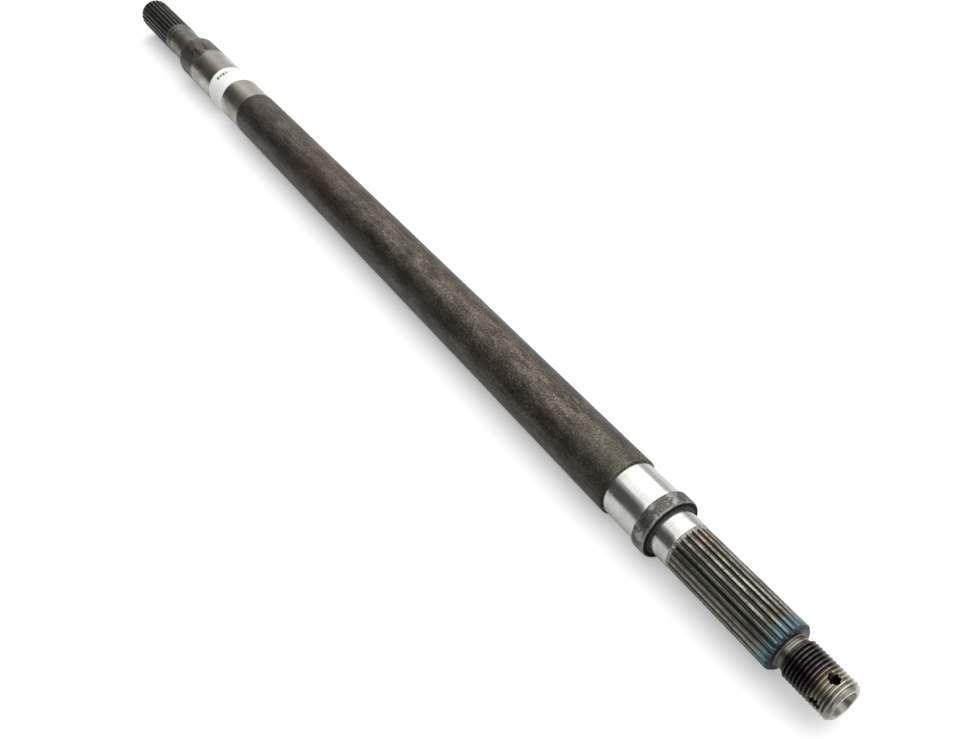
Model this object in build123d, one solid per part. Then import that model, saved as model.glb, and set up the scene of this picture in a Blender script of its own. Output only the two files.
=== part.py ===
"""Rear axle half-shaft with its bearing collar and paper label.

The axle lies along X. +X points to the threaded hub end and +Z is up.
The origin is on the axis, in the middle of the bearing seat.
"""

import math
import os

from build123d import *

# Lengths along the axle, from the differential end to the hub end, in millimetres.
INNER_SPLINE_LENGTH = 52.0
INNER_LAND_LENGTH = 5.5
NECK_LENGTH = 27.0
INNER_JOURNAL_LENGTH = 100.0
BODY_LENGTH = 360.5
BEARING_SEAT_LENGTH = 18.5
HUB_JOURNAL_LENGTH = 16.0
HUB_SPLINE_LENGTH = 51.3
RELIEF_LENGTH = 3.5
THREAD_LENGTH = 20.7

# Diameters.
INNER_SPLINE_DIAMETER = 20.5
INNER_LAND_DIAMETER = 20.2
NECK_DIAMETER = 19.6
INNER_JOURNAL_DIAMETER = 26.5
BODY_DIAMETER = 27.0
HUB_JOURNAL_DIAMETER = 21.0
THREAD_DIAMETER = 16.0

# Where the bearing seat stands between the hub journal and the body, as a share of the way out.
SEAT_SHARE = 2 / 3

# How far the hub spline stays under its journal, and the relief under the root of the thread.
HUB_SPLINE_STEP = 0.2
RELIEF_STEP = 0.18

# Edges between the stretches.
SHOULDER_RADIUS = 3.0
NECK_FILLET = 2.5
STEP_CHAMFER_SHARE = 0.6
BODY_START_CHAMFER = 0.2
JOURNAL_CHAMFER = 0.4
INNER_TIP_CHAMFER = 0.9
INNER_TIP_CHAMFER_LENGTH = 2.0
SPLINE_END_CHAMFER = 1.0
THREAD_END_CHAMFER = 1.3

# Splines: straight-sided grooves close to a 30 degree involute.
SPLINE_TEETH = 24
SPLINE_DEPTH = 0.8
SPLINE_TIP_SHARE = 0.36
SPLINE_FLANK_ANGLE = 33.0
INNER_SPLINE_RUNOUT = 3.5
HUB_SPLINE_RUNOUT = 1.6

# Thread: 60 degree metric form.
THREAD_PITCH = 1.5
THREAD_FLANK_ANGLE = 30.0
THREAD_DEPTH = THREAD_PITCH * math.sqrt(3) / 2 * 17 / 24

# Split-pin holes and lathe centres.
PIN_HOLE_DIAMETER = 4.0
PIN_HOLE_FROM_END = 6.0
HUB_CENTRE_DIAMETER = 10.4
HUB_CENTRE_PILOT_DIAMETER = 4.0
HUB_CENTRE_PILOT_LENGTH = 4.5
INNER_CENTRE_DIAMETER = 7.5
INNER_CENTRE_PILOT_DIAMETER = 3.2
INNER_CENTRE_PILOT_LENGTH = 3.0
CENTRE_HALF_ANGLE = 30.0

# Bearing collar: seated on the hub journal, against the end of the bearing seat.
COLLAR_LENGTH = 6.8
COLLAR_CLEARANCE = 0.02
COLLAR_WALL = 3.13
COLLAR_FRONT_ROUND = 1.2
COLLAR_BACK_ROUND = 0.6
COLLAR_BORE_CHAMFER = 0.7

# Paper label, wrapped round the inner journal with a gap between its ends.
# The angle of the gap is measured about +X from +Z.
LABEL_WIDTH = 20.4
LABEL_END_GAP = 4.25
LABEL_THICKNESS = 0.12
LABEL_FROM_SHOULDER = 55.8
LABEL_GAP_ANGLE = 200.0

# Sizes that follow from those above. The bearing passes over everything outboard of its
# seat, the collar passes over the hub spline, and the nut runs off the thread into the relief.
BEARING_SEAT_DIAMETER = HUB_JOURNAL_DIAMETER + (BODY_DIAMETER - HUB_JOURNAL_DIAMETER) * SEAT_SHARE
STEP_CHAMFER = (BODY_DIAMETER - BEARING_SEAT_DIAMETER) / 2 * STEP_CHAMFER_SHARE
HUB_SPLINE_DIAMETER = HUB_JOURNAL_DIAMETER - 2 * HUB_SPLINE_STEP
RELIEF_DIAMETER = THREAD_DIAMETER - 2 * THREAD_DEPTH - 2 * RELIEF_STEP

# Where each stretch starts, on X, working out from the middle of the bearing seat.
SEAT_START = -BEARING_SEAT_LENGTH / 2
SEAT_END = BEARING_SEAT_LENGTH / 2
BODY_START = SEAT_START - BODY_LENGTH
JOURNAL_START = BODY_START - INNER_JOURNAL_LENGTH
NECK_START = JOURNAL_START - NECK_LENGTH
LAND_START = NECK_START - INNER_LAND_LENGTH
INNER_END = LAND_START - INNER_SPLINE_LENGTH
HUB_SPLINE_START = SEAT_END + HUB_JOURNAL_LENGTH
HUB_SPLINE_END = HUB_SPLINE_START + HUB_SPLINE_LENGTH
THREAD_START = HUB_SPLINE_END + RELIEF_LENGTH
HUB_END = THREAD_START + THREAD_LENGTH

ALONG = Rot(0, 90, 0)


def turned(outline):
    """The solid that an outline, given from the axis out and back, leaves on a lathe."""
    face = make_face(outline)
    return revolve(face, Axis.X)


def bar(start, end, diameter, start_chamfer=0, end_chamfer=0):
    """A round bar on the X axis, with 45 degree chamfers on its ends where a size is given."""
    radius = diameter / 2
    corners = [(start, 0, 0), (start, 0, radius - start_chamfer)]
    if start_chamfer:
        corners.append((start + start_chamfer, 0, radius))
    if end_chamfer:
        corners.append((end - end_chamfer, 0, radius))
    corners += [(end, 0, radius - end_chamfer), (end, 0, 0)]
    return turned(Polyline(*corners, close=True))


def inner_blank():
    """The differential end before its teeth are cut: tip, land, neck and journal.

    A hollow fillet and a rounded shoulder meet smoothly between the neck and the journal.
    """
    tip = INNER_SPLINE_DIAMETER / 2
    land = INNER_LAND_DIAMETER / 2
    neck = NECK_DIAMETER / 2
    journal = INNER_JOURNAL_DIAMETER / 2
    top = JOURNAL_START + SHOULDER_RADIUS
    turn = math.acos(1 - (journal - neck) / (SHOULDER_RADIUS + NECK_FILLET))
    meet = (top - SHOULDER_RADIUS * math.sin(turn), 0, journal - SHOULDER_RADIUS * (1 - math.cos(turn)))
    root = meet[0] - NECK_FILLET * math.sin(turn)
    outline = [
        Polyline(
            (root, 0, neck),
            (NECK_START, 0, neck),
            (NECK_START, 0, land),
            (LAND_START, 0, land),
            (LAND_START, 0, tip),
            (INNER_END + INNER_TIP_CHAMFER_LENGTH, 0, tip),
            (INNER_END, 0, tip - INNER_TIP_CHAMFER),
            (INNER_END, 0, 0),
            (BODY_START, 0, 0),
            (BODY_START, 0, journal),
            (top, 0, journal),
        ),
        ThreePointArc(
            (top, 0, journal),
            (
                top - SHOULDER_RADIUS * math.sin(turn / 2),
                0,
                journal - SHOULDER_RADIUS * (1 - math.cos(turn / 2)),
            ),
            meet,
        ),
        ThreePointArc(
            meet,
            (
                root + NECK_FILLET * math.sin(turn / 2),
                0,
                neck + NECK_FILLET * (1 - math.cos(turn / 2)),
            ),
            (root, 0, neck),
        ),
    ]
    return turned(outline)


def spline_gaps(start, end, diameter):
    """The gaps between the teeth, one solid each, all round the bar. A gap stands at +Z."""
    tip = diameter / 2
    pitch_at_tip = math.pi * diameter / SPLINE_TEETH
    slope = math.tan(math.radians(SPLINE_FLANK_ANGLE))
    half_at_tip = pitch_at_tip * (1 - SPLINE_TIP_SHARE) / 2
    half_at_root = half_at_tip - SPLINE_DEPTH * slope
    half_outside = half_at_tip + SPLINE_DEPTH * slope
    outline = Polyline(
        (start, -half_at_root, tip - SPLINE_DEPTH),
        (start, half_at_root, tip - SPLINE_DEPTH),
        (start, half_outside, tip + SPLINE_DEPTH),
        (start, -half_outside, tip + SPLINE_DEPTH),
        close=True,
    )
    gap = extrude(make_face(outline), amount=end - start, dir=(1, 0, 0))
    return [Rot(360 / SPLINE_TEETH * i, 0, 0) * gap for i in range(SPLINE_TEETH)]


def runout(root_x, tip_x, diameter):
    """What the cutter leaves where the gaps between the teeth rise to the surface, from root_x to tip_x."""
    tip = diameter / 2
    root = tip - SPLINE_DEPTH
    length = abs(tip_x - root_x)
    sense = math.copysign(1, tip_x - root_x)
    cutter = (length**2 + SPLINE_DEPTH**2) / (2 * SPLINE_DEPTH)
    half = math.asin(length / cutter) / 2
    outline = [
        Polyline((tip_x, 0, tip), (tip_x, 0, 0), (root_x, 0, 0), (root_x, 0, root)),
        ThreePointArc(
            (root_x, 0, root),
            (root_x + sense * cutter * math.sin(half), 0, root + cutter * (1 - math.cos(half))),
            (tip_x, 0, tip),
        ),
    ]
    return turned(outline)


def thread_groove(length):
    """One helical groove that runs past both ends of a thread of this length, along +Z from the origin."""
    root_flat = THREAD_PITCH / 8
    proud = THREAD_PITCH / 5
    root_radius = THREAD_DIAMETER / 2 - THREAD_DEPTH
    reach = THREAD_DEPTH + proud
    half_root = root_flat / 2
    half_mouth = half_root + reach * math.tan(math.radians(THREAD_FLANK_ANGLE))
    overrun = 1.5 * THREAD_PITCH
    helix = Helix(
        pitch=THREAD_PITCH,
        height=length + 2 * overrun,
        radius=root_radius,
        center=(0, 0, -overrun),
    )
    section = Plane(origin=helix @ 0, x_dir=(1, 0, 0), z_dir=(0, -1, 0)) * make_face(
        Polyline((0, -half_root), (reach, -half_mouth), (reach, half_mouth), (0, half_root), close=True)
    )
    return sweep(section, path=helix, is_frenet=True)


def centre_hole(end, inward, mouth_diameter, pilot_diameter, pilot_length):
    """A lathe centre in an end face: a 60 degree cone with a pilot hole. inward is +1 or -1 along X."""
    mouth = mouth_diameter / 2
    pilot = pilot_diameter / 2
    cone_length = (mouth - pilot) / math.tan(math.radians(CENTRE_HALF_ANGLE))
    pilot_end = end + inward * (cone_length + pilot_length)
    outline = Polyline(
        (end, 0, 0),
        (end, 0, mouth),
        (end + inward * cone_length, 0, pilot),
        (pilot_end, 0, pilot),
        (pilot_end, 0, 0),
        close=True,
    )
    return turned(outline)


def inner_end():
    """The splined differential end, with the neck and the ground inner journal."""
    centre = centre_hole(
        INNER_END, 1, INNER_CENTRE_DIAMETER, INNER_CENTRE_PILOT_DIAMETER, INNER_CENTRE_PILOT_LENGTH
    )
    teeth = inner_blank() - spline_gaps(INNER_END, LAND_START, INNER_SPLINE_DIAMETER)
    return teeth + runout(LAND_START - INNER_SPLINE_RUNOUT, LAND_START, INNER_SPLINE_DIAMETER) - centre


def hub_spline():
    """The splined stretch that drives the wheel hub, with the thread relief behind it."""
    blank = bar(HUB_SPLINE_START, HUB_SPLINE_END, HUB_SPLINE_DIAMETER, end_chamfer=SPLINE_END_CHAMFER)
    teeth = blank - spline_gaps(HUB_SPLINE_START, HUB_SPLINE_END, HUB_SPLINE_DIAMETER)
    rise = runout(HUB_SPLINE_START + HUB_SPLINE_RUNOUT, HUB_SPLINE_START, HUB_SPLINE_DIAMETER)
    return teeth + rise + bar(HUB_SPLINE_END, THREAD_START, RELIEF_DIAMETER)


def threaded_end():
    """The thread for the hub nut, with two crossed split-pin holes and a centre hole."""
    overlap = 4 * THREAD_PITCH
    stock = Pos(0, 0, THREAD_LENGTH / 2) * Cylinder(THREAD_DIAMETER / 2, THREAD_LENGTH + 2 * overlap)
    threaded = Pos(THREAD_START, 0, 0) * ALONG * (stock - thread_groove(THREAD_LENGTH))
    blank = bar(THREAD_START, HUB_END, THREAD_DIAMETER, end_chamfer=THREAD_END_CHAMFER)
    pin_hole = Pos(HUB_END - PIN_HOLE_FROM_END, 0, 0) * Cylinder(PIN_HOLE_DIAMETER / 2, 2 * THREAD_DIAMETER)
    centre = centre_hole(
        HUB_END, -1, HUB_CENTRE_DIAMETER, HUB_CENTRE_PILOT_DIAMETER, HUB_CENTRE_PILOT_LENGTH
    )
    drilled = blank - pin_hole - Rot(90, 0, 0) * pin_hole - centre
    return drilled & threaded


def axle_shaft():
    """The whole one-piece half-shaft."""
    body = bar(BODY_START, SEAT_START, BODY_DIAMETER, BODY_START_CHAMFER, STEP_CHAMFER)
    seat = bar(SEAT_START, SEAT_END, BEARING_SEAT_DIAMETER, end_chamfer=STEP_CHAMFER)
    journal = bar(SEAT_END, HUB_SPLINE_START, HUB_JOURNAL_DIAMETER, end_chamfer=JOURNAL_CHAMFER)
    return inner_end() + body + seat + journal + hub_spline() + threaded_end()


def bearing_collar():
    """The ring that holds the bearing on its seat. It slides on over the hub end."""
    bore = HUB_JOURNAL_DIAMETER / 2 + COLLAR_CLEARANCE
    outside = bore + COLLAR_WALL
    end = SEAT_END + COLLAR_LENGTH
    front_rise = COLLAR_FRONT_ROUND * (1 - math.sqrt(0.5))
    back_rise = COLLAR_BACK_ROUND * (1 - math.sqrt(0.5))
    outline = [
        Polyline(
            (SEAT_END, 0, outside - COLLAR_BACK_ROUND),
            (SEAT_END, 0, bore),
            (end - COLLAR_BORE_CHAMFER, 0, bore),
            (end, 0, bore + COLLAR_BORE_CHAMFER),
            (end, 0, outside - COLLAR_FRONT_ROUND),
        ),
        ThreePointArc(
            (end, 0, outside - COLLAR_FRONT_ROUND),
            (end - front_rise, 0, outside - front_rise),
            (end - COLLAR_FRONT_ROUND, 0, outside),
        ),
        Line((end - COLLAR_FRONT_ROUND, 0, outside), (SEAT_END + COLLAR_BACK_ROUND, 0, outside)),
        ThreePointArc(
            (SEAT_END + COLLAR_BACK_ROUND, 0, outside),
            (SEAT_END + back_rise, 0, outside - back_rise),
            (SEAT_END, 0, outside - COLLAR_BACK_ROUND),
        ),
    ]
    return turned(outline)


def paper_label():
    """The paper band on the inner journal."""
    inside = INNER_JOURNAL_DIAMETER / 2
    start = JOURNAL_START + LABEL_FROM_SHOULDER
    gap = math.degrees(LABEL_END_GAP / inside)
    section = make_face(
        Polyline(
            (start, 0, inside),
            (start + LABEL_WIDTH, 0, inside),
            (start + LABEL_WIDTH, 0, inside + LABEL_THICKNESS),
            (start, 0, inside + LABEL_THICKNESS),
            close=True,
        )
    )
    band = revolve(section, Axis.X, revolution_arc=360 - gap)
    return Rot(LABEL_GAP_ANGLE + gap / 2, 0, 0) * band


PIECES = {
    "axle_shaft": axle_shaft,
    "bearing_collar": bearing_collar,
    "paper_label": paper_label,
}

os.makedirs("parts", exist_ok=True)
for name, make in PIECES.items():
    piece = make()
    export_step(piece, f"parts/{name}.step")
    print(name, "volume", round(piece.volume, 1), "mm3")
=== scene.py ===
# %% [markdown]
# A rear axle half-shaft of a small utility vehicle, on a pale studio floor.
#
# The real part is one steel forging. It has a splined differential end, a long bar that is
# still black from the mill, a ground seat for the wheel bearing, a splined stretch for the
# wheel hub and a thread for the hub nut. A loose collar holds the bearing, and a paper
# label is wrapped round the differential end.
#
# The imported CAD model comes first. Everything drawn here is in its frame, in metres: X
# runs along the axle towards the thread, Z is up, and the origin is in the bearing seat.

import math

import bmesh
import bpy
import numpy as np
from mathutils import Matrix, Vector


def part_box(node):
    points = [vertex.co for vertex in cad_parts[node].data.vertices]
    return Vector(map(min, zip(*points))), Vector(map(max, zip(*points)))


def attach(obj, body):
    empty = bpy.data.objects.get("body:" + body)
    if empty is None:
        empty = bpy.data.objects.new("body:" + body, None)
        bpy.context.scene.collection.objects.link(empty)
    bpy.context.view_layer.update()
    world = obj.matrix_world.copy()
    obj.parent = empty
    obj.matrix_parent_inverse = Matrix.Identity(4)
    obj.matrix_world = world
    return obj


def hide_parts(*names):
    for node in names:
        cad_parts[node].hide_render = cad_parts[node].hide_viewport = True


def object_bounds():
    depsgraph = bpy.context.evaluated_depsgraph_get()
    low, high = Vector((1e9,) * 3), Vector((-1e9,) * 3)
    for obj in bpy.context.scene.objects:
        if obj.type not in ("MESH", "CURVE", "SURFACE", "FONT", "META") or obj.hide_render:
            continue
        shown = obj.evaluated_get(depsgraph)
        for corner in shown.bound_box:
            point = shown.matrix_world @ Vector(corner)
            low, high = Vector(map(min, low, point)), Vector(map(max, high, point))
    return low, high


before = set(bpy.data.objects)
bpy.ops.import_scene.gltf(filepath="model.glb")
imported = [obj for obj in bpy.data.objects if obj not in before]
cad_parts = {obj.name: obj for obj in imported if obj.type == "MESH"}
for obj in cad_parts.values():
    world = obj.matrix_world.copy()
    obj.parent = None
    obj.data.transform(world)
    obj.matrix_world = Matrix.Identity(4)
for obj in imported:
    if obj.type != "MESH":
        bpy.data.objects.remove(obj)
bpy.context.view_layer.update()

# %% [markdown]
# Sizes. A turned part is known by where each stretch starts and how thick it is there. Each
# stretch has its length and its radius, listed once from the differential end to the hub
# end. The lengths are added up from the low X of the CAD shaft, so that the drawn stretches
# stay where the CAD has them.

# %% Stations and radii, in millimetres
STRETCHES = [
    ("inner_spline", 52.0, 10.25),
    ("land", 5.5, 10.1),
    ("neck", 27.0, 9.8),
    ("inner_journal", 100.0, 13.25),
    ("body", 360.5, 13.5),
    ("bearing_seat", 18.5, 12.5),
    ("hub_journal", 16.0, 10.5),
    ("hub_spline", 51.3, 10.3),
    ("relief", 3.5, 6.9),
    ("thread", 20.7, 8.0),
]
RADII = {stretch: radius for stretch, _, radius in STRETCHES}
STARTS, ENDS = {}, {}
shaft_low, shaft_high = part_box("axle_shaft")
station = shaft_low.x * 1000
for stretch, length, _ in STRETCHES:
    STARTS[stretch] = station
    station += length
    ENDS[stretch] = station
print("stations end at", round(station, 2), "and the CAD ends at", round(shaft_high.x * 1000, 2))

# %% [markdown]
# A mesh for round things. A lathe makes rings, so every stretch is a stack of rings. Each
# ring is a row of points round the X axis, and the radius may change from point to point,
# which gives spline teeth and a thread as easily as a plain bar. Screw and lathe modifiers
# can make a plain bar too, but not a tooth that fades out, so the rings are made here.

# %% Angles and rings
TOP = math.pi / 2
AROUND = 192


def round_angles(count):
    """Angles about +X, measured from +Y towards +Z."""
    return np.arange(count) * 2 * math.pi / count


def ring(x, radius, angles):
    """One ring of points, in millimetres. x and radius may be numbers or one value per angle."""
    x = np.broadcast_to(x, angles.shape)
    radius = np.broadcast_to(radius, angles.shape)
    return np.stack([x, radius * np.cos(angles), radius * np.sin(angles)], axis=1)


ROUND = round_angles(AROUND)
print("a bar has a point every", 360 / AROUND, "degrees")

# %% [markdown]
# The rings are skinned with quads, and each end is closed with a fan of triangles. A turned
# part is smooth round its axis and sharp at its shoulders, so edges that bend by more than
# SHARP_EDGE stay sharp.

# %% Meshes from rings
SHARP_EDGE = math.radians(38)


def ring_quads(rows, count, first=0):
    """Quads between each ring and the next one, all facing out."""
    quads = []
    for row in range(rows - 1):
        low = first + row * count
        for step in range(count):
            turn = (step + 1) % count
            quads.append((low + step, low + turn, low + count + turn, low + count + step))
    return quads


def fan(centre, first, count, flipped=False):
    """Triangles from a ring's middle to its points. They face +X, or -X if flipped."""
    pairs = [(first + step, first + (step + 1) % count) for step in range(count)]
    return [(centre, after, here) if flipped else (centre, here, after) for here, after in pairs]


def smooth(made):
    """Smooth shading except across sharp edges."""
    made.data.polygons.foreach_set("use_smooth", [True] * len(made.data.polygons))
    made.data.set_sharp_from_angle(angle=SHARP_EDGE)
    print(made.name, "has", len(made.data.polygons), "faces")
    return made


def new_piece(name, points, faces):
    """An object from points in millimetres."""
    mesh = bpy.data.meshes.new(name)
    mesh.from_pydata((np.asarray(points) * 0.001).tolist(), [], faces)
    mesh.validate()
    made = bpy.data.objects.new(name, mesh)
    bpy.context.scene.collection.objects.link(made)
    return smooth(made)


def turned_piece(name, rings):
    """A closed solid from a stack of rings, with a fan of triangles over each end."""
    count = len(rings[0])
    points = np.concatenate(rings + [rings[end].mean(axis=0, keepdims=True) for end in (0, -1)])
    low_centre = len(rings) * count
    faces = ring_quads(len(rings), count)
    faces += fan(low_centre, 0, count, flipped=True) + fan(low_centre + 1, low_centre - count, count)
    return new_piece(name, points, faces)


print("rings can be skinned")

# %% [markdown]
# No hot-rolled bar is perfectly round. A few slow waves with seeded random phases, summed,
# give an unevenness of some hundredths of a millimetre that bends the reflections a little.

# %% Unevenness and rounded profiles
BAR_WAVE = 70.0


def waves(x, angles, seed, wavelength, count=7):
    """A smooth unevenness from about -1 to 1 over a round surface. wavelength is in millimetres."""
    draw = np.random.default_rng(seed)
    total = np.zeros_like(angles)
    for _ in range(count):
        along = draw.uniform(0.4, 1.4) / wavelength
        around = int(draw.integers(-4, 5))
        total += np.cos(2 * math.pi * along * x + around * angles + draw.uniform(0, 2 * math.pi))
    return total * 2 / count


def edge_round(x, radius, size, towards, steps=4):
    """Quarter round on a bar's end at x. towards is 1 where the bar goes on to higher X, else -1."""
    turns = [math.pi / 2 * step / steps for step in range(steps + 1)]
    points = [
        (x + towards * size * (1 - math.sin(turn)), radius - size * (1 - math.cos(turn))) for turn in turns
    ]
    return points[::-1] if towards > 0 else points


def uneven_piece(stretch, profile, unevenness, seed, wavelength):
    """A round piece of the shaft from its profile of stations and radii."""
    rings = [ring(x, r + unevenness * waves(x, ROUND, seed, wavelength), ROUND) for x, r in profile]
    return turned_piece("shaft_" + stretch, rings)


def bar_piece(stretch, low_round, high_round, spacing, seed, unevenness, sunk=0.0, lowered=0.0):
    """A plain stretch with small rounds on its ends. sunk lets it reach into the stretch before it."""
    start, end = STARTS[stretch] - sunk, ENDS[stretch]
    radius = RADII[stretch] - lowered
    profile = edge_round(start, radius, low_round, 1)
    inner_start, inner_end = start + low_round, end - high_round
    steps = max(2, int((inner_end - inner_start) / spacing))
    profile += [(inner_start + (inner_end - inner_start) * k / steps, radius) for k in range(1, steps)]
    profile += edge_round(end, radius, high_round, -1)
    return uneven_piece(stretch, profile, unevenness, seed, BAR_WAVE)


# %% [markdown]
# The bar between the journals. On the real axle it is forged or rolled and never machined,
# so it keeps its black scale. It is drawn as its own stretch, because the export bakes one
# picture per piece, and a stretch with one finish gets a sharper one.

# %% Body
BODY_WAVES = 0.02
body = bar_piece(
    "body", low_round=0.3, high_round=0.55, spacing=3.0, seed=11, unevenness=BODY_WAVES, lowered=BODY_WAVES
)

# %% [markdown]
# The ground seats. The wheel bearing is pressed on the bright seat, and the collar sits on
# the next smaller journal. A grinding wheel leaves them truly round with broken edges.

# %% Bearing seat and hub journal
EMBED = 0.25
ground_bar = {"low_round": 0.1, "spacing": 1.5, "sunk": EMBED}
bearing_seat = bar_piece("bearing_seat", high_round=0.5, seed=21, unevenness=0.004, **ground_bar)
hub_journal = bar_piece("hub_journal", high_round=0.35, seed=22, unevenness=0.003, **ground_bar)

# %% [markdown]
# The differential end behind the spline: a land, a narrower neck that twists a little
# under shock, and the rounded shoulder of the journal that runs in the oil seal.

# %% Neck, shoulder and inner journal
SHOULDER_ROUND = 3.0
NECK_FILLET = 2.5


def shoulder_profile():
    """Points up the hollow fillet from the neck and over the rounded shoulder to the journal."""
    neck, journal = RADII["neck"], RADII["inner_journal"]
    turn = math.acos(1 - (journal - neck) / (SHOULDER_ROUND + NECK_FILLET))
    top = STARTS["inner_journal"] + SHOULDER_ROUND
    root = top - (SHOULDER_ROUND + NECK_FILLET) * math.sin(turn)
    turns = [turn * k / 8 for k in range(9)]
    hollow = [(root + NECK_FILLET * math.sin(t), neck + NECK_FILLET * (1 - math.cos(t))) for t in turns]
    crown = [(top - SHOULDER_ROUND * math.sin(t), journal - SHOULDER_ROUND * (1 - math.cos(t)))
             for t in turns[:-1]]
    return hollow, crown[::-1]


hollow, crown = shoulder_profile()
neck_profile = [(STARTS["neck"] - EMBED, RADII["neck"])]
neck_profile += [(STARTS["neck"] + 2.4 * k, RADII["neck"]) for k in range(1, 10)] + hollow
neck = uneven_piece("neck", neck_profile, unevenness=0.006, seed=31, wavelength=30.0)
journal_steps = np.linspace(crown[-1][0], ENDS["inner_journal"] + EMBED, 50)[1:]
journal_profile = [hollow[-1]] + crown + [(x, RADII["inner_journal"]) for x in journal_steps]
inner_journal = uneven_piece(
    "inner_journal", journal_profile, unevenness=0.006, seed=32, wavelength=60.0
)

# %% [markdown]
# Splines. A hob cuts the gaps between the teeth and leaves each gap with a curved end where
# it comes out of the steel. Twenty-four grooves could be cut with booleans, but one radius
# for each angle and station does it in a single clean mesh, with small rounds on the tooth
# tips and roots. Points are set where the tooth bends, not evenly, so each flank is sharp.

# %% Tooth form
TEETH = 24
TOOTH_DEPTH = 0.8
HALF_PITCH = 180 / TEETH
GAP_BENDS = [0.0, 1.2, 2.0, 2.6, 3.5, 4.4, 4.75, 5.2, 6.3, HALF_PITCH]
GAP_DEPTHS = [1.0, 1.0, 0.985, 0.82, 0.48, 0.15, 0.04, 0.0, 0.0, 0.0]


def tooth_angles():
    """Angles at which the mesh has points: the bends of every gap, and a gap stands at +Z."""
    bends = GAP_BENDS + [2 * HALF_PITCH - bend for bend in GAP_BENDS[-2:0:-1]]
    first = math.degrees(TOP)
    return np.radians([first + 2 * HALF_PITCH * gap + bend for gap in range(TEETH) for bend in bends])


def gap_depth(angles):
    """How deep the gap is at each angle, from 0 on a tooth tip to 1 in the root."""
    from_gap = (np.degrees(angles) - math.degrees(TOP) + HALF_PITCH) % (2 * HALF_PITCH) - HALF_PITCH
    return np.interp(np.abs(from_gap), GAP_BENDS, GAP_DEPTHS)


def floor_rise(x, root_x, tip_x):
    """Share of the tooth depth by which the hob's curved way out lifts the gap's floor at x."""
    share = np.clip((x - root_x) / (tip_x - root_x), 0, 1)
    return share**2


def spline_ring(x, radius, root_x, tip_x, lowered=0.0):
    """One ring of a spline. lowered takes metal off the tips, as a chamfer does."""
    angles = tooth_angles()
    floor = radius - TOOTH_DEPTH * (1 - floor_rise(x, root_x, tip_x))
    cut = np.maximum(radius - TOOTH_DEPTH * gap_depth(angles), floor)
    return ring(x, np.minimum(cut, radius - lowered), angles)


# %% [markdown]
# The differential end. The tip is chamfered so that it finds its way into the side gear, and
# a lathe centre, a cone with a small pilot hole, is left in the end face.

# %% Inner spline and land
INNER_RUNOUT = 3.5
TIP_CHAMFER = 0.9
TIP_CHAMFER_LENGTH = 2.0
CENTRE_SLOPE = math.tan(math.radians(30))


def centre_rings(face_x, inward, angles, mouth, pilot, pilot_length):
    """Rings of a lathe centre, from the bottom of the pilot hole out to the cone's mouth."""
    cone = (mouth - pilot) / CENTRE_SLOPE
    stops = [(cone + pilot_length, pilot * 0.25), (cone + pilot_length - 0.6, pilot), (cone + 0.1, pilot)]
    stops += [(cone * (1 - k / 5), pilot + (mouth - pilot) * k / 5) for k in range(6)]
    return [ring(face_x + inward * depth, radius, angles) for depth, radius in stops]


def inner_spline_rings():
    angles = tooth_angles()
    start, end = STARTS["inner_spline"], ENDS["inner_spline"]
    radius = RADII["inner_spline"]
    floor_end = end - INNER_RUNOUT
    rings = centre_rings(start, 1, angles, mouth=3.75, pilot=1.6, pilot_length=3.0)
    face = np.minimum(radius - TIP_CHAMFER, radius - TOOTH_DEPTH * gap_depth(angles))
    rings.append(ring(start, face - 0.25, angles))
    for share in np.linspace(0, 1, 6):
        x = start + 0.12 + (TIP_CHAMFER_LENGTH - 0.12) * share
        rings.append(spline_ring(x, radius, floor_end, end, TIP_CHAMFER * (1 - share) ** 1.3))
    for x in np.linspace(start + TIP_CHAMFER_LENGTH, floor_end, 24)[1:]:
        rings.append(spline_ring(x, radius, floor_end, end))
    for x in np.linspace(floor_end, end, 9)[1:]:
        rings.append(spline_ring(x, radius, floor_end, end))
    land = RADII["land"]
    rings += [ring(end + 0.12, land, angles), ring(end + 2.5, land, angles)]
    rings += [ring(x, r, angles) for x, r in edge_round(ENDS["land"], land, 0.25, -1)]
    rings.append(ring(ENDS["land"], RADII["neck"] - 0.5, angles))
    return rings


inner_spline = turned_piece("shaft_inner_spline", inner_spline_rings())

# %% [markdown]
# The hub spline. The wheel hub slides on over these teeth, so their ends are chamfered at
# the thread side, and their gaps run out just before the journal.

# %% Hub spline
HUB_RUNOUT = 1.6
HUB_CHAMFER = 1.0
CHAMFER_ROUND = 0.35


def hub_spline_rings():
    angles = tooth_angles()
    start, end = STARTS["hub_spline"], ENDS["hub_spline"]
    radius = RADII["hub_spline"]
    floor_start, bend = start + HUB_RUNOUT, end - HUB_CHAMFER - 0.25
    rings = [ring(start - EMBED, radius - 0.2, angles), ring(start, radius - 0.05, angles)]
    for x in np.linspace(start + 0.08, floor_start, 9):
        rings.append(spline_ring(x, radius, floor_start, start))
    for x in np.linspace(floor_start, bend, 30)[1:]:
        rings.append(spline_ring(x, radius, floor_start, start))
    for turn in np.linspace(0, math.pi / 4, 5):
        x, lowered = bend + CHAMFER_ROUND * math.sin(turn), CHAMFER_ROUND * (1 - math.cos(turn))
        rings.append(spline_ring(x, radius, floor_start, start, lowered))
    rings.append(spline_ring(end - 0.06, radius, floor_start, start, HUB_CHAMFER * 0.94))
    root = radius - TOOTH_DEPTH * gap_depth(angles)
    rings.append(ring(end, np.minimum(radius - HUB_CHAMFER - 0.12, root - 0.06), angles))
    rings.append(ring(end, RADII["relief"] - 0.4, angles))
    return rings


hub_spline = turned_piece("shaft_hub_spline", hub_spline_rings())

# %% [markdown]
# The thread. A helix is the classic case for a screw modifier, but its ends then need
# cutting. Here each ring is slanted by one pitch per turn, so that its points follow the
# crests and roots, and rings that run past an end are pressed flat against it and merged.

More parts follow.
